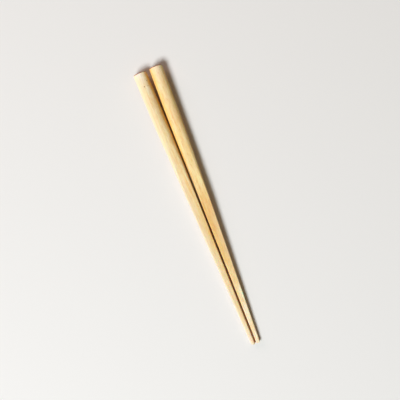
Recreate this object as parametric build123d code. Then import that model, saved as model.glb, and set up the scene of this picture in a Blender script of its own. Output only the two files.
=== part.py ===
from build123d import *
import math
import os

# A pair of plain wooden chopsticks, lying side by side on a table.
# Each stick is one piece of wood: a round dowel, planed on four sides to a long, nearly
# square taper. The planed flats stop short of the top end, which stays round as the grip.

# One stick, in millimetres
stick_length = 210.0
head_diameter = 9.8
head_length = 39.0  # round part, from the top end to where the four flats run out
tip_width = 2.6  # the blunt tip, across its side flats
tip_height = 3.2  # and from its lower flat to its upper one
left_arris_radius = 1.0  # the left stick's four long corners, sanded well round
right_arris_radius = 0.5  # the right stick's, left sharper
head_rim_radius = 1.1  # sanded round of the top end
tip_rim_radius = 0.3  # sanded round of the tip

# How the two sticks lie
facing_gap = 0.98  # between the two flats that face each other, where they start
tip_gap = 1.18  # between the same two flats at the tips, which lie a little apart
right_lead = 0.4  # how far the right stick's top end is ahead of the left one's

head_radius = head_diameter / 2
taper_length = stick_length - head_length
side_angle = math.degrees(math.atan((head_diameter - tip_width) / 2 / taper_length))
lower_angle = math.degrees(math.atan((head_diameter - tip_height) / 2 / taper_length))
splay_angle = math.degrees(math.atan((tip_gap - facing_gap) / 2 / taper_length))


def turned_dowel():
    """The round bar, its axis on Y and its top end at Y = 0, with the top rim sanded round."""
    bar = extrude(Plane.XZ * Circle(head_radius), stick_length)
    top_rim = bar.edges().group_by(Axis.Y)[-1]
    return fillet(top_rim, head_rim_radius)


def planed_taper(arris_radius):
    """The four flats and the rounded corners between them, from the head to the tip."""
    side = (head_diameter - tip_width) / 2
    lower = (head_diameter - tip_height) / 2
    blank = Wedge(
        head_diameter,
        taper_length,
        head_diameter,
        side,
        lower,
        side + tip_width,
        lower + tip_height,
    )
    blank = Pos(0, -head_length - taper_length / 2, 0) * Rot(Z=180) * blank
    corners = blank.edges().sort_by(SortBy.LENGTH)[-4:]
    return fillet(corners, arris_radius)


def chopstick(arris_radius):
    """One finished stick, with its axis on Y, its top end at Y = 0 and its tip towards -Y."""
    dowel = turned_dowel()
    around_head = extrude(
        Plane.XZ * Rectangle(2 * head_diameter, 2 * head_diameter), head_length
    )
    stick = (dowel & around_head) + (dowel & planed_taper(arris_radius))
    tip_face = stick.faces().sort_by(Axis.Y)[0]
    return fillet(tip_face.edges(), tip_rim_radius)


def laid_down(stick, side, lead):
    """Lay a stick on its lower flat, with one side flat nearly along the middle line.

    side is -1 for the left stick and 1 for the right one.
    """
    runout = Pos(0, head_length, 0)
    level = Rot(X=lower_angle)
    turned = Rot(Z=-side * (side_angle - splay_angle))
    place = Pos(side * (head_radius + facing_gap / 2), lead, head_radius)
    return place * turned * level * runout * stick


pair = {
    "left_chopstick": laid_down(chopstick(left_arris_radius), -1, 0),
    "right_chopstick": laid_down(chopstick(right_arris_radius), 1, right_lead),
}

# The origin is under the middle of the pair, on the surface that it lies on.
box = Compound(list(pair.values())).bounding_box()
to_origin = Pos(-box.center().X, -box.center().Y, -box.min.Z)

os.makedirs("parts", exist_ok=True)
for name, solid in pair.items():
    placed = to_origin * solid
    placed.label = name
    export_step(placed, f"parts/{name}.step")
    size = placed.bounding_box()
    print(name, round(placed.volume, 2), size.min, size.max)
print("side angle", round(side_angle, 4), "lower angle", round(lower_angle, 4))
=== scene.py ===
import math

import bpy
from mathutils import Matrix, Vector


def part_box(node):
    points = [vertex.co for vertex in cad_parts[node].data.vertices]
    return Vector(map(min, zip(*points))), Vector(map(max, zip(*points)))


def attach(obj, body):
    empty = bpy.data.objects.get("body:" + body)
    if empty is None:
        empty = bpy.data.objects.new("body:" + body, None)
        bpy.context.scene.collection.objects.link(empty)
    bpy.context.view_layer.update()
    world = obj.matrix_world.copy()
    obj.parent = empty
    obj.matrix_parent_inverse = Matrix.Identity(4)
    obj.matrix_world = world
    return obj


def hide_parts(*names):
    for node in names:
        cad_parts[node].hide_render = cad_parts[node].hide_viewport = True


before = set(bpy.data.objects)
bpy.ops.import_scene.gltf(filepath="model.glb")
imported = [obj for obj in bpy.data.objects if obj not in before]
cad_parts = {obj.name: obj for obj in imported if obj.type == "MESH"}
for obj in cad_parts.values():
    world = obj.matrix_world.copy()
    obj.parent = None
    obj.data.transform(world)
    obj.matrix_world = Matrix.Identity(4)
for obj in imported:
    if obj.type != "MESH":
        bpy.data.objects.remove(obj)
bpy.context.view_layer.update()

# Left chopstick
# One piece of pale, unvarnished wood. A round bar is sawn to length and planed on four
# sides, so that four flats run down to a square tip. It is then tumbled smooth.

MILLIMETRE = 0.001
NODE_OF_STICK = {-1: "left_chopstick", 1: "right_chopstick"}

# One stick, in millimetres. These are also the inputs of the tree that shapes it.
STICK = {
    "Length": 210.0,
    "Head Diameter": 9.8,
    "Head Length": 39.0,
    "Tip Width": 2.6,
    "Tip Height": 3.2,
    "Head Rim": 1.1,
    "Tip Rim": 0.3,
    "Tumbled Edge": 0.25,
    "Fibre Depth": 0.03,
    "Plane Waves": 0.05,
}
SLANTED_LENGTH = 6.0
TAPER_LENGTH = STICK["Length"] - STICK["Head Length"]
SIDE_SLOPE = (STICK["Head Diameter"] - STICK["Tip Width"]) / 2 / TAPER_LENGTH
LOWER_SLOPE = (STICK["Head Diameter"] - STICK["Tip Height"]) / 2 / TAPER_LENGTH

# Between the flats that face each other, where they start and at the tips
FACING_GAP = 0.98
TIP_GAP = 1.18

# The mesh of one stick
RINGS_ALONG = 420
POINTS_AROUND = 160
RINGS_ON_END = 12
RINGS_ON_HEAD_RIM = 6
RINGS_ON_TIP_RIM = 5
QUARTER_TURN = math.pi / 2
NEARLY_NOUGHT = 0.0001

# Each kind of grain as a noise: the size of its patches in millimetres across the wood and
# along it, what it adds to the stick's seed, its detail and its roughness
GRAIN = {
    "worn fibres": (0.45, 16.0, 0.0, 2.0, 0.55),
    "plane waves": (5.0, 24.0, 3.0, 1.0, 0.55),
    "ring drift": (9.0, 70.0, 1.0, 2.0, 0.55),
    "fibres": (0.28, 14.0, 2.0, 4.0, 0.6),
    "patches": (2.0, 12.0, 4.0, 4.0, 0.55),
    "mottle": (0.9, 3.6, 5.0, 2.0, 0.55),
    "pores": (0.16, 2.4, 6.0, 1.0, 0.55),
    "ragged edges": (0.25, 0.5, 7.0, 2.0, 0.55),
    "end speckle": (0.14, 2.0, 8.0, 2.0, 0.55),
    "hue": (1.8, 8.0, 9.0, 2.0, 0.55),
}


class Field:
    """A value at each point of a piece, and the sums that Math nodes do on it."""

    def __init__(self, tree, socket):
        self.tree = tree
        self.socket = socket

    def math(self, operation, *others):
        node = self.tree.nodes.new("ShaderNodeMath")
        node.operation = operation
        for socket, value in zip(node.inputs, (self, *others)):
            feed(self.tree, socket, value)
        return Field(self.tree, node.outputs[0])

    def __add__(self, other):
        return self.math("ADD", other)

    def __sub__(self, other):
        return self.math("SUBTRACT", other)

    def __rsub__(self, other):
        return self.math("MULTIPLY_ADD", -1.0, other)

    def __mul__(self, other):
        return self.math("MULTIPLY", other)

    def __truediv__(self, other):
        return self.math("DIVIDE", other)

    def clamped(self):
        return self.math("MAXIMUM", 0.0).math("MINIMUM", 1.0)

    def rising(self, start, end):
        """0 up to the start, 1 from the end on, and evenly between. The end may be lower."""
        return ((self - start) / (end - start)).clamped()


def feed(tree, socket, value):
    """Gives a socket a Field, a number, or a colour of three numbers."""
    if isinstance(value, Field):
        tree.links.new(value.socket, socket)
    elif isinstance(value, tuple):
        socket.default_value = (*value, 1.0)
    else:
        socket.default_value = value


def vector_of(tree, x, y, z):
    node = tree.nodes.new("ShaderNodeCombineXYZ")
    for socket, value in zip(node.inputs, (x, y, z)):
        feed(tree, socket, value)
    return Field(tree, node.outputs[0])


def parts_of(vector):
    node = vector.tree.nodes.new("ShaderNodeSeparateXYZ")
    feed(vector.tree, node.inputs[0], vector)
    return [Field(vector.tree, socket) for socket in node.outputs]


def grain(point, kind, seed):
    """One kind of grain, as a noise from 0 to 1 that is drawn out along the wood."""
    across, along, added_seed, detail, roughness = GRAIN[kind]
    tree = point.tree
    x, y, z = parts_of(point)
    node = tree.nodes.new("ShaderNodeTexNoise")
    node.noise_dimensions = "4D"
    feed(tree, node.inputs["Vector"], vector_of(tree, x / across, y / along, z / across))
    feed(tree, node.inputs["W"], seed + added_seed)
    node.inputs["Scale"].default_value = 1.0
    node.inputs["Detail"].default_value = detail
    node.inputs["Roughness"].default_value = roughness
    return Field(tree, node.outputs[0])


def ring_places(ring, size):
    """How far each ring is from the top end, and how far the rims draw it in.

    Rings are close together round the two rims and evenly spaced between them.
    """
    between = RINGS_ALONG - RINGS_ON_HEAD_RIM - RINGS_ON_TIP_RIM
    on_head = (ring / RINGS_ON_HEAD_RIM).clamped() * QUARTER_TURN
    on_tip = ((RINGS_ALONG - ring) / RINGS_ON_TIP_RIM).clamped() * QUARTER_TURN
    on_shaft = ((ring - RINGS_ON_HEAD_RIM) / between).clamped()
    shaft = size["Length"] - size["Head Rim"] - size["Tip Rim"]
    along = size["Head Rim"] * (1 - on_head.math("COSINE"))
    along = along + on_shaft * shaft + size["Tip Rim"] * on_tip.math("COSINE")
    rounding = size["Head Rim"] * (1 - on_head.math("SINE"))
    rounding = rounding + size["Tip Rim"] * (1 - on_tip.math("SINE"))
    return along, rounding


def planed_outline(along, turn, size):
    """The distance from the middle of the stick to its outline, at an angle round it.

    The planed section is a rectangle with rounded corners. One quarter of it is worked out,
    at the angle above the side flat. The round bar is what lies outside it.
    """
    radius = size["Head Diameter"] / 2
    planed = (along - size["Head Length"]) / (size["Length"] - size["Head Length"])
    half_width = radius - planed * (radius - size["Tip Width"] / 2)
    half_height = radius - planed * (radius - size["Tip Height"] / 2)
    arris = size["Arris Radius"]
    corner_x = half_width - arris
    corner_z = half_height - arris
    angle = turn.math("PINGPONG", QUARTER_TURN)
    cosine = angle.math("COSINE")
    sine = angle.math("SINE")
    to_side_flat = half_width / cosine.math("MAXIMUM", NEARLY_NOUGHT)
    to_upper_flat = half_height / sine.math("MAXIMUM", NEARLY_NOUGHT)
    to_flat = to_side_flat.math("MINIMUM", to_upper_flat)
    aside = corner_x * sine - corner_z * cosine
    half_chord = (arris * arris - aside * aside).math("MAXIMUM", 0.0).math("SQRT")
    to_corner = corner_x * cosine + corner_z * sine + half_chord
    past_side_flat = (to_side_flat * sine).math("GREATER_THAN", corner_z)
    past_upper_flat = (to_upper_flat * cosine).math("GREATER_THAN", corner_x)
    is_corner = past_side_flat * past_upper_flat
    outline = to_flat + is_corner * (to_corner - to_flat)
    return radius.math("SMOOTH_MIN", outline, size["Tumbled Edge"])


def planed_stick():
    """The tree that shapes a stick, in millimetres, its axis on Y and its top end at 0."""
    tree = bpy.data.node_groups.new("planed_stick", "GeometryNodeTree")
    tree.is_modifier = True
    for name in (*STICK, "Arris Radius", "Tip Slant", "Seed"):
        tree.interface.new_socket(name, in_out="INPUT", socket_type="NodeSocketFloat")
    tree.interface.new_socket("Wood", in_out="INPUT", socket_type="NodeSocketMaterial")
    tree.interface.new_socket("Stick", in_out="OUTPUT", socket_type="NodeSocketGeometry")
    entry = tree.nodes.new("NodeGroupInput")
    size = {s.name: Field(tree, s) for s in entry.outputs if s.name}

    # A plain bar of radius 1, with its rings 1 apart, gives each point its ring, its share
    # of the way out from the middle, and its angle.
    bar = tree.nodes.new("GeometryNodeMeshCylinder")
    bar.inputs["Vertices"].default_value = POINTS_AROUND
    bar.inputs["Side Segments"].default_value = RINGS_ALONG
    bar.inputs["Fill Segments"].default_value = RINGS_ON_END
    bar.inputs["Radius"].default_value = 1.0
    bar.inputs["Depth"].default_value = RINGS_ALONG
    on_bar = Field(tree, tree.nodes.new("GeometryNodeInputPosition").outputs[0])
    x, y, z = parts_of(on_bar)
    ring = z + RINGS_ALONG / 2
    share_out = (x * x + y * y).math("SQRT")
    turn = y.math("ARCTAN2", x)
    cosine = turn.math("COSINE")
    sine = turn.math("SINE")

    # Softer wood is worn lower between the fibres, and the plane leaves slow waves.
    along, rounding = ring_places(ring, size)
    outline = planed_outline(along, turn, size)
    skin = vector_of(tree, outline * cosine, along, outline * sine)
    worn = grain(skin, "worn fibres", size["Seed"]) * size["Fibre Depth"]
    worn = worn + grain(skin, "plane waves", size["Seed"]) * size["Plane Waves"]
    out = (outline - worn - rounding) * share_out

    # The tip is sawn a little out of square, shorter on its left side.
    right = out * cosine
    near_tip = ((along - size["Length"]) / SLANTED_LENGTH + 1.0).clamped()
    cut_off = size["Tip Slant"] * (0.5 - right / size["Tip Width"]) * near_tip
    moved = vector_of(tree, right, cut_off - along, out * sine)

    shape = tree.nodes.new("GeometryNodeSetPosition")
    tree.links.new(bar.outputs["Mesh"], shape.inputs["Geometry"])
    feed(tree, shape.inputs["Position"], moved)
    smooth = tree.nodes.new("GeometryNodeSetShadeSmooth")
    tree.links.new(shape.outputs[0], smooth.inputs["Geometry"])
    realize = tree.nodes.new("GeometryNodeRealizeInstances")
    tree.links.new(smooth.outputs[0], realize.inputs[0])
    finish = tree.nodes.new("GeometryNodeSetMaterial")
    tree.links.new(realize.outputs[0], finish.inputs["Geometry"])
    tree.links.new(entry.outputs["Wood"], finish.inputs["Material"])
    leave = tree.nodes.new("NodeGroupOutput")
    tree.links.new(finish.outputs[0], leave.inputs[0])
    return tree


stick_shape = planed_stick()


def lying(side):
    """The place of a stick on its lower flat, its facing flat nearly along the middle line.

    side is -1 for the left stick and 1 for the right one.
    """
    low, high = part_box(NODE_OF_STICK[side])
    radius = STICK["Head Diameter"] / 2
    splay = math.atan((TIP_GAP - FACING_GAP) / 2 / TAPER_LENGTH)
    turn = math.atan(SIDE_SLOPE) - splay
    lean = math.atan(LOWER_SLOPE)
    turned = Matrix.Rotation(-side * turn, 4, "Z") @ Matrix.Rotation(lean, 4, "X")
    from_runout = turned @ Matrix.Translation((0, STICK["Head Length"], 0))

    # The tilted top end reaches a little past its middle, less its rounded rim.
    rim = STICK["Head Rim"]
    ahead = turned.to_3x3().transposed() @ Vector((0, 1, 0))
    past_middle = (radius - rim) * math.hypot(ahead.x, ahead.z) + rim * (1 - ahead.y)
    top_end = from_runout.translation.y + past_middle
    from_middle = min(abs(low.x), abs(high.x)) / MILLIMETRE + radius
    runout = Vector((side * from_middle, high.y / MILLIMETRE - top_end, radius))
    return Matrix.Scale(MILLIMETRE, 4) @ Matrix.Translation(runout) @ from_runout


def chopstick(name, side, look, wood):
    """One finished stick as a plain mesh, in place of its CAD node."""
    piece = bpy.data.objects.new(name, bpy.data.meshes.new(name))
    bpy.context.scene.collection.objects.link(piece)
    shaping = piece.modifiers.new("shaping", "NODES")
    shaping.node_group = stick_shape
    values = {
        **STICK,
        "Arris Radius": look["arris radius"],
        "Tip Slant": look["tip slant"],
        "Seed": look["seed"],
        "Wood": wood,
    }
    for item in stick_shape.interface.items_tree:
        if item.in_out == "INPUT":
            shaping[item.identifier] = values[item.name]
    bpy.context.view_layer.update()
    graph = bpy.context.evaluated_depsgraph_get()
    shaped = bpy.data.meshes.new_from_object(piece.evaluated_get(graph))
    piece.modifiers.clear()
    shaped.transform(lying(side))
    piece.data = shaped
    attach(piece, "root")
    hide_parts(NODE_OF_STICK[side])
    return piece


def mixed(tree, blend, share, first, second):
    """Two colours mixed. Each is a Field or three numbers."""
    node = tree.nodes.new("ShaderNodeMix")
    node.data_type = "RGBA"
    node.blend_type = blend
    # The node has a set of sockets for each kind of value. These are the ones for colours.
    factor, first_colour, second_colour = (node.inputs[i] for i in (0, 6, 7))
    feed(tree, factor, share)
    feed(tree, first_colour, first)
    feed(tree, second_colour, second)
    return Field(tree, node.outputs[2])


def tone_along(from_end, tones):
    """The stick's base tone at each point of its length."""
    tree = from_end.tree
    node = tree.nodes.new("ShaderNodeValToRGB")
    feed(tree, node.inputs[0], from_end / STICK["Length"])
    elements = node.color_ramp.elements
    while len(elements) < len(tones):
        elements.new(0.5)
    for element, (position, colour) in zip(elements, tones):
        element.position = position
        element.color = (*colour, 1.0)
    return Field(tree, node.outputs[0])


def from_top_end(point):
    """How far a point is from the top end, in millimetres."""
    return parts_of(point)[1] * -1.0


def stick_place(tree, lay):
    """Each point of the piece, in the millimetres that its stick was shaped in."""
    where = tree.nodes.new("ShaderNodeTexCoord")
    own = tree.nodes.new("ShaderNodeMapping")
    tree.links.new(where.outputs["Object"], own.inputs["Vector"])
    to_stick = lay.inverted()
    own.inputs["Location"].default_value = to_stick.translation
    own.inputs["Rotation"].default_value = to_stick.to_euler()
    own.inputs["Scale"].default_value = to_stick.to_scale()
    return Field(tree, own.outputs[0])


# How far the rings lean to one side per millimetre along, how far they wander in
# millimetres, and how sharply each ends
RING_LEAN = 0.012
RING_DRIFT = 4.5
LATE_WOOD_SHARPNESS = 3.0


def late_wood(point, look):
    """0 in the early wood of each growth ring, rising to 1 in its late wood.

    The stick is cut nearly along the rings, so that they show as long bands.
    """
    x, y, z = parts_of(point)
    drift = grain(point, "ring drift", look["seed"]) - 0.5
    pith_x, pith_z = look["pith"]
    far_x = x - pith_x + y * RING_LEAN
    far_z = z - pith_z
    depth = (far_x * far_x + far_z * far_z).math("SQRT") + drift * RING_DRIFT
    ring = (depth / look["ring width"]).math("FRACT")
    return ring.math("POWER", LATE_WOOD_SHARPNESS)


# What each kind of grain leaves of the red, green and blue
LATE_WOOD_SHADE = (0.96, 0.83, 0.61)
PINKER_SHADE = (1.0, 0.96, 0.92)
YELLOWER_SHADE = (0.99, 1.0, 0.92)
FIBRE_SHADE = (0.93, 0.86, 0.74)
MOTTLE_SHADE = (0.94, 0.87, 0.77)
PORE_SHADE = (0.80, 0.66, 0.48)

# The levels of a noise where its kind of grain starts to show and where it is full
PINKER_LEVELS = (0.5, 0.75)
YELLOWER_LEVELS = (0.5, 0.25)
FIBRE_LEVELS = (0.34375, 0.65625)
MOTTLE_LEVELS = (0.48, 0.68)
PORE_LEVELS = (0.64, 0.7233)
PORE_DEPTH = 0.5
LATE_WOOD_DEPTH = 0.5
PATCH_START = 0.44
PATCH_CONTRAST = 3.6
# Where rings and fibres come back below the top end, in millimetres; above, the end is partly
# worn and partly painted highlight
WORN_AND_HIGHLIT_END = (-5.0, 9.0)


def grained(point, look, late, fibre, pore):
    """The base tone with rings, fibres, pores and patches that are pinker or yellower.

    Rings and fibres fade towards the top end, partly from wear and partly as a painted
    highlight.
    """
    tree = point.tree
    from_end = from_top_end(point)
    colour = tone_along(from_end, look["tones"])
    below_worn_highlit_end = from_end.rising(*WORN_AND_HIGHLIT_END)
    patch = (grain(point, "patches", look["seed"]) - PATCH_START) * PATCH_CONTRAST
    deeper = (late * LATE_WOOD_DEPTH + patch).clamped() * below_worn_highlit_end
    hue = grain(point, "hue", look["seed"])
    streaks = fibre.rising(*FIBRE_LEVELS) * below_worn_highlit_end
    mottled = grain(point, "mottle", look["seed"]).rising(*MOTTLE_LEVELS)
    colour = mixed(tree, "MULTIPLY", deeper, colour, LATE_WOOD_SHADE)
    colour = mixed(tree, "MULTIPLY", hue.rising(*PINKER_LEVELS), colour, PINKER_SHADE)
    colour = mixed(tree, "MULTIPLY", hue.rising(*YELLOWER_LEVELS), colour, YELLOWER_SHADE)
    colour = mixed(tree, "MULTIPLY", streaks, colour, FIBRE_SHADE)
    colour = mixed(tree, "MULTIPLY", mottled, colour, MOTTLE_SHADE)
    return mixed(tree, "MULTIPLY", pore * PORE_DEPTH, colour, PORE_SHADE)


# What the painted shade of the sides leaves of the red, green and blue, and the pale side's
# own colour, which is a painted highlight on the left stick
PAINTED_SHADE_IN_BANDS = (0.99, 0.82, 0.42)
PAINTED_SHADE_AT_END = (1.0, 0.94, 0.80)
PAINTED_SHADE_HEAD_GAP_SIDE = (1.0, 0.80, 0.50)
PAINTED_SHADE_TAPER_GAP_SIDE = (0.97, 0.66, 0.20)
PALE_AND_HIGHLIGHT_COLOUR = (0.91, 0.83, 0.68)

# Where the tints start and where they are full, in millimetres from the top end
ON_TAPER = (STICK["Head Length"], STICK["Head Length"] + 45.0)
NEAR_TOP_END = (15.0, 6.0)
PAST_HEAD = (12.0, 42.0)
PALE_BLEND = 20.0

# The same across the stick, where its middle is 0 and its edge by the gap is 1
BY_GAP = (0.0, 0.625)
FACES_GAP = (0.3, 0.8)
GAP_BAND = 0.65
GAP_BAND_LOST_ON_TAPER = 0.5
OUTER_BAND = 0.75

# The same upwards, where the axis is 0 and the top of the head is 1
HEAD_FLANK_TOP = 0.4
TAPER_FLANK_RISE = 0.6
FLANK_SHARPNESS = 3.0
PALE_HEIGHTS = (-0.3, 0.2)
PALE_WIDTH = 5.0


def sides_with_painted_light(colour, point, side, look):
    """Painted shade in bands by the gap and the outer edge and on the lower flanks, and a
    paler outer side, which is a painted highlight on the left stick.

    The band by the gap narrows where the taper starts, and the one by the outer edge ends.
    """
    tree = point.tree
    x, y, z = parts_of(point)
    from_end = from_top_end(point)
    head_half = STICK["Head Diameter"] / 2
    half = (STICK["Head Length"] - from_end) * SIDE_SLOPE + head_half
    half = half.math("MINIMUM", head_half)
    to_gap = x * -side / half
    height = z / half
    on_taper = from_end.rising(*ON_TAPER)

    # Painted shade in a band by the gap, and in one by the outer edge on the head.
    painted_gap_shade = (1 - (1 - to_gap) / (GAP_BAND - on_taper * GAP_BAND_LOST_ON_TAPER)).clamped()
    painted_edge_shade = (1 - (to_gap + 1.0) / OUTER_BAND).clamped() * (1 - on_taper)
    colour = mixed(tree, "MULTIPLY", painted_gap_shade + painted_edge_shade, colour, PAINTED_SHADE_IN_BANDS)
    # Warmer painted shade by the gap near the top end.
    painted_shade_near_end = to_gap.rising(*BY_GAP) * from_end.rising(*NEAR_TOP_END)
    colour = mixed(tree, "MULTIPLY", painted_shade_near_end, colour, PAINTED_SHADE_AT_END)

    # Painted shade on the lower flanks, deepest and most orange on the flanks that face the
    # gap.
    past_head = from_end.rising(*PAST_HEAD)
    gap_side_painted_shade = mixed(tree, "MIX", past_head, PAINTED_SHADE_HEAD_GAP_SIDE, PAINTED_SHADE_TAPER_GAP_SIDE)
    faces_gap = to_gap.rising(*FACES_GAP)
    lower_side_painted_shade = mixed(tree, "MIX", faces_gap, look["outer side painted shade"], gap_side_painted_shade)
    flank_top = on_taper * TAPER_FLANK_RISE + HEAD_FLANK_TOP
    flank = ((flank_top - height) * FLANK_SHARPNESS).clamped()
    colour = mixed(tree, "MULTIPLY", flank, colour, lower_side_painted_shade)

    # A paler outer side: a painted highlight on the left stick, where that side faces the
    # light, and a paler band on the right stick.
    start, end, most = look["paler side and highlight"]
    from_outer_edge = half - x * side
    pale = from_outer_edge.rising(PALE_WIDTH, 0.0) * height.rising(*PALE_HEIGHTS) * most
    pale = pale * from_end.rising(start, start + PALE_BLEND)
    pale = pale * from_end.rising(end, end - PALE_BLEND)
    return mixed(tree, "MIX", pale, colour, PALE_AND_HIGHLIGHT_COLOUR)


# A speck's noise eats into its edge. So it starts wider than its size, and sharply.
SPECK_SPREAD = 1.4
SPECK_EDGE = 2.6
SPECK_REACH = 0.1


def marked_with_painted_light(colour, point, look):
    """Small marks on the upper side, with ragged edges. Most are specks in the wood; a pale
    one is a painted highlight, and a long one by the gap is painted shade.
    """
    tree = point.tree
    x, y, z = parts_of(point)
    from_end = from_top_end(point)
    ragged = grain(point, "ragged edges", look["seed"])
    for from_top, right, length, width, tint in look["marks and painted light"]:
        off_x = (x - right) / (width / 2 * SPECK_SPREAD)
        off_y = (from_end - from_top) / (length / 2 * SPECK_SPREAD)
        inside = (1 - (off_x * off_x + off_y * off_y)).clamped()
        inside = inside * z.math("GREATER_THAN", 0.0)
        share = ((inside - ragged) * SPECK_EDGE + SPECK_REACH).clamped()
        colour = mixed(tree, "MIX", share, colour, tint)
    return colour


# The sawn ends: their two colours and the painted shade on the top end's rim, and where each
# starts and is full, in millimetres from its own end
END_GRAIN_EARLY = (0.60, 0.39, 0.21)
END_GRAIN_LATE = (0.40, 0.23, 0.10)
PAINTED_SHADE_ON_RIM = (0.85, 0.54, 0.56)
TOP_CUT = (0.8, 0.6)
TIP_CUT = (0.25, 0.1)
PAINTED_RIM_REACH = (0.0, 0.2)
RINGS_ON_CUT = 0.6
SPECKLE_START = 0.35
SPECKLE_CONTRAST = 1.5


def sawn_ends(colour, point, look, late):
    """The colour with its sawn ends, and where these are, from 0 to 1.

    They show the rings as arcs, and are darker because they drink in light. The top end's rim
    is darker still, with painted shade.
    """
    tree = point.tree
    x, y, z = parts_of(point)
    from_end = from_top_end(point)
    cut_off = (0.5 - x / STICK["Tip Width"]) * look["tip slant"]
    to_tip = STICK["Length"] - from_end - cut_off
    sawn_top = from_end.rising(*TOP_CUT)
    sawn_tip = to_tip.rising(*TIP_CUT)
    speckle = (grain(point, "end speckle", look["seed"]) - SPECKLE_START) * SPECKLE_CONTRAST
    late_share = (late * RINGS_ON_CUT + speckle).clamped()
    end_colour = mixed(tree, "MIX", late_share, END_GRAIN_EARLY, END_GRAIN_LATE)
    # Painted shade on the top end's rounded rim
    rim_painted_shade = from_end.rising(*PAINTED_RIM_REACH) * sawn_top
    end_colour = mixed(tree, "MULTIPLY", rim_painted_shade, end_colour, PAINTED_SHADE_ON_RIM)
    sawn = sawn_top + sawn_tip
    return mixed(tree, "MIX", sawn, colour, end_colour), sawn


# How much light the wood scatters back, and how much its fibres, rings and pores stand out
SMOOTH_ROUGHNESS = 0.32
FIBRE_ROUGHNESS = 0.22
SAWN_ROUGHNESS = 0.25
SCATTER_REACH = 1.2
BUMP_DEPTH = 0.06
RING_RIDGE = 0.3
PORE_PIT = 0.6


def bare_wood(name, side, look):
    """Bare pale wood, worked out in the millimetres of its own stick."""
    wood = bpy.data.materials.new(name)
    wood.use_nodes = True
    tree = wood.node_tree
    shader = tree.nodes["Principled BSDF"]
    point = stick_place(tree, lying(side))
    late = late_wood(point, look)
    fibre = grain(point, "fibres", look["seed"])
    pore = grain(point, "pores", look["seed"]).rising(*PORE_LEVELS)

    colour = grained(point, look, late, fibre, pore)
    colour = sides_with_painted_light(colour, point, side, look)
    colour = marked_with_painted_light(colour, point, look)
    colour, sawn = sawn_ends(colour, point, look, late)
    feed(tree, shader.inputs["Base Color"], colour)

    # Fibres are a little rougher than the smooth wood, and sawn ends more so.
    roughness = fibre * FIBRE_ROUGHNESS + SMOOTH_ROUGHNESS + sawn * SAWN_ROUGHNESS
    feed(tree, shader.inputs["Roughness"], roughness)
    shader.inputs["Specular IOR Level"].default_value = 0.2
    shader.inputs["Diffuse Roughness"].default_value = 0.9
    shader.inputs["Subsurface Weight"].default_value = 0.3
    shader.inputs["Subsurface Radius"].default_value = (1.0, 0.45, 0.18)
    shader.inputs["Subsurface Scale"].default_value = SCATTER_REACH * MILLIMETRE

    # Fibres and late wood stand up, and pores are pits.
    bump = tree.nodes.new("ShaderNodeBump")
    bump.inputs["Strength"].default_value = 0.5
    bump.inputs["Distance"].default_value = BUMP_DEPTH * MILLIMETRE
    feed(tree, bump.inputs["Height"], fibre + late * RING_RIDGE - pore * PORE_PIT)
    tree.links.new(bump.outputs[0], shader.inputs["Normal"])
    return wood


LEFT_LOOK = {
    "seed": 11.0,
    "arris radius": 1.0,
    # How much shorter the tip is on its left side
    "tip slant": 0.9,
    # (share of the length from the top end, colour). The palest tones at the top end are
    # partly a painted highlight.
    "tones": (
        (0.0, (1.0, 1.0, 0.98)),
        (0.06, (0.96, 0.90, 0.70)),
        (0.15, (0.92, 0.83, 0.57)),
        (0.35, (0.99, 0.89, 0.59)),
        (0.55, (0.93, 0.79, 0.44)),
        (0.85, (0.93, 0.81, 0.46)),
        (1.0, (0.98, 0.90, 0.64)),
    ),
    # The middle of the growth rings: (right of the stick's axis, above it)
    "pith": (-30.0, -22.0),
    "ring width": 2.1,
    # Painted shade on the lower part of the outer flank
    "outer side painted shade": (0.58, 0.43, 0.28),
    # (start from the top end, end from the top end, how pale it gets). Here it is a painted
    # highlight on the side that faces the light.
    "paler side and highlight": (-20.0, 240.0, 0.7),
    # (from the top end, right of the middle, length, width, colour)
    "marks and painted light": (
        (10.8, -0.3, 1.3, 1.0, (0.55, 0.27, 0.13)),
        # A painted highlight beside the dark speck
        (11.6, 0.9, 1.2, 1.0, (1.0, 0.94, 0.72)),
        (11.0, 2.2, 1.0, 0.7, (0.68, 0.42, 0.22)),
        (7.3, 2.8, 1.1, 0.8, (0.66, 0.42, 0.22)),
        (5.9, 2.2, 0.9, 0.6, (0.70, 0.48, 0.26)),
    ),
}
left_wood = bare_wood("left_wood", -1, LEFT_LOOK)
left_stick = chopstick("left_stick", -1, LEFT_LOOK, left_wood)

# Right chopstick
# The same stick again from another piece of the same wood, with a warmer middle. It lies
# beside the left one, with its head a little further out.

RIGHT_LOOK = {
    "seed": 37.0,
    "arris radius": 0.5,
    "tip slant": 0.0,
    # The paler tones at the top end are partly a painted highlight.
    "tones": (
        (0.0, (0.99, 0.90, 0.75)),
        (0.05, (0.97, 0.89, 0.64)),
        (0.2, (0.98, 0.86, 0.56)),
        (0.42, (1.0, 0.91, 0.58)),
        (0.52, (0.92, 0.69, 0.32)),
        (0.7, (0.91, 0.75, 0.37)),
        (0.82, (1.0, 0.98, 0.80)),
        (1.0, (1.0, 0.97, 0.84)),
    ),
    "pith": (26.0, -34.0),
    "ring width": 1.8,
    # Painted shade on the lower part of the outer flank
    "outer side painted shade": (0.80, 0.54, 0.30),
    "paler side and highlight": (95.0, 165.0, 0.3),
    # The last one is a long streak of painted shade beside the gap.
    "marks and painted light": (
        (2.5, 2.2, 0.8, 0.4, (0.58, 0.34, 0.18)),
        (1.6, 1.4, 0.9, 0.3, (0.62, 0.40, 0.24)),
        (3.6, 1.7, 0.7, 0.3, (0.66, 0.42, 0.24)),
        (86.0, -3.6, 45.0, 0.9, (0.62, 0.42, 0.18)),
    ),
}
right_wood = bare_wood("right_wood", 1, RIGHT_LOOK)
right_stick = chopstick("right_stick", 1, RIGHT_LOOK, right_wood)

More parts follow.
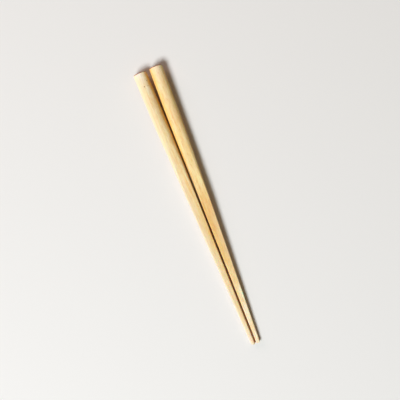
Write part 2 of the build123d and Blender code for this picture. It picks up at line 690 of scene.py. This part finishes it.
# Floor
# A plain, pale floor under the pair, slightly warm. It isn't part of the object. Beyond the
# picture it fades into the pale room, but the light that falls on it stays.

FLOOR_SIDE = 6.0
FADE_START = 0.23
FADE_END = 0.60
FLOOR_COLOUR = (0.838, 0.85, 0.845)
PALE_ROOM = (0.83, 0.83, 0.82)


def looking_ray(tree):
    """1 for a ray that looks at the room, straight or by way of gloss or glass, and else 0."""
    path = tree.nodes.new("ShaderNodeLightPath")
    straight = Field(tree, path.outputs["Is Camera Ray"])
    by_gloss = Field(tree, path.outputs["Is Glossy Ray"])
    by_glass = Field(tree, path.outputs["Is Transmission Ray"])
    return (straight + by_gloss + by_glass).clamped()


def shown_as(tree, kind, share, lit, ending):
    """A lit shader that turns into the even pale room where share is 1."""
    pale = tree.nodes.new(kind)
    feed(tree, pale.inputs["Color"], PALE_ROOM)
    either = tree.nodes.new("ShaderNodeMixShader")
    feed(tree, either.inputs[0], share)
    tree.links.new(lit.outputs[0], either.inputs[1])
    tree.links.new(pale.outputs[0], either.inputs[2])
    tree.links.new(either.outputs[0], tree.nodes[ending].inputs[0])


def fading_floor():
    """The floor's material."""
    material = bpy.data.materials.new("pale_floor")
    material.use_nodes = True
    tree = material.node_tree
    surface = tree.nodes["Principled BSDF"]
    feed(tree, surface.inputs["Base Color"], FLOOR_COLOUR)
    surface.inputs["Roughness"].default_value = 0.9
    surface.inputs["Specular IOR Level"].default_value = 0.1
    where = tree.nodes.new("ShaderNodeTexCoord")
    from_pair = tree.nodes.new("ShaderNodeVectorMath")
    from_pair.operation = "LENGTH"
    tree.links.new(where.outputs["Object"], from_pair.inputs[0])
    fade = tree.nodes.new("ShaderNodeMapRange")
    fade.interpolation_type = "SMOOTHSTEP"
    fade.inputs["From Min"].default_value = FADE_START
    fade.inputs["From Max"].default_value = FADE_END
    tree.links.new(from_pair.outputs["Value"], fade.inputs["Value"])
    faded = looking_ray(tree) * Field(tree, fade.outputs[0])
    shown_as(tree, "ShaderNodeEmission", faded, surface, "Material Output")
    return material


bpy.ops.mesh.primitive_plane_add(size=FLOOR_SIDE)
floor = bpy.context.object
floor.name = "floor"
floor.data.materials.append(fading_floor())

# Camera
# It looks straight down from half a metre, turned so that the heads point up and left. Its
# lens takes in the width of floor that the picture shows.

CAMERA_HEIGHT = 0.525
VIEW_WIDTH = 0.2875
PAIR_TURN = math.radians(21.62)
AIM_X = 0.00066
AIM_Y = 0.00524
camera_data = bpy.data.cameras.new("camera")
camera_data.sensor_width = 36.0
camera_data.lens = camera_data.sensor_width * CAMERA_HEIGHT / VIEW_WIDTH
camera_data.clip_start = 0.01
camera = bpy.data.objects.new("camera", camera_data)
camera.location = (AIM_X, AIM_Y, CAMERA_HEIGHT)
camera.rotation_euler = (0.0, 0.0, -PAIR_TURN)
bpy.context.scene.collection.objects.link(camera)
bpy.context.scene.camera = camera

# Lamps
# One soft lamp like a window from the lower left of the picture, and two weak warm ones that
# light its shadows from the other sides. An even pale room is all round.

LAMP_DISTANCE = 2.6


def soft_lamp(name, towards, width, height, power, colour):
    """An oval lamp that shines on the middle of the pair from the given direction."""
    data = bpy.data.lights.new(name, "AREA")
    data.shape = "ELLIPSE"
    data.size = width
    data.size_y = height
    data.energy = power
    data.color = colour
    direction = Vector(towards).normalized()
    lamp = bpy.data.objects.new(name, data)
    lamp.location = direction * LAMP_DISTANCE
    lamp.rotation_euler = direction.to_track_quat("Z", "Y").to_euler()
    lamp.visible_camera = False
    bpy.context.scene.collection.objects.link(lamp)


soft_lamp(
    name="window_lamp",
    towards=(-0.656, -0.43, 1.0),
    width=1.35,
    height=0.85,
    power=72.6,
    colour=(0.97, 0.99, 0.995),
)
soft_lamp(
    name="far_wall_lamp",
    towards=(-0.45, 0.9, 0.45),
    width=1.2,
    height=1.2,
    power=15.0,
    colour=(1.0, 0.66, 0.66),
)
soft_lamp(
    name="right_wall_lamp",
    towards=(0.5, 0.8, 0.42),
    width=1.8,
    height=1.8,
    power=6.3,
    colour=(1.0, 0.57, 0.1),
)

ROOM_LIGHT = 0.08
ROOM_COLOUR = (1.0, 0.98, 0.84)
room = bpy.data.worlds.new("room")
room.use_nodes = True
room_light = room.node_tree.nodes["Background"]
feed(room.node_tree, room_light.inputs["Color"], ROOM_COLOUR)
room_light.inputs["Strength"].default_value = ROOM_LIGHT
looked_at = looking_ray(room.node_tree)
shown_as(room.node_tree, "ShaderNodeBackground", looked_at, room_light, "World Output")
bpy.context.scene.world = room

bpy.context.scene.view_settings.view_transform = "Standard"
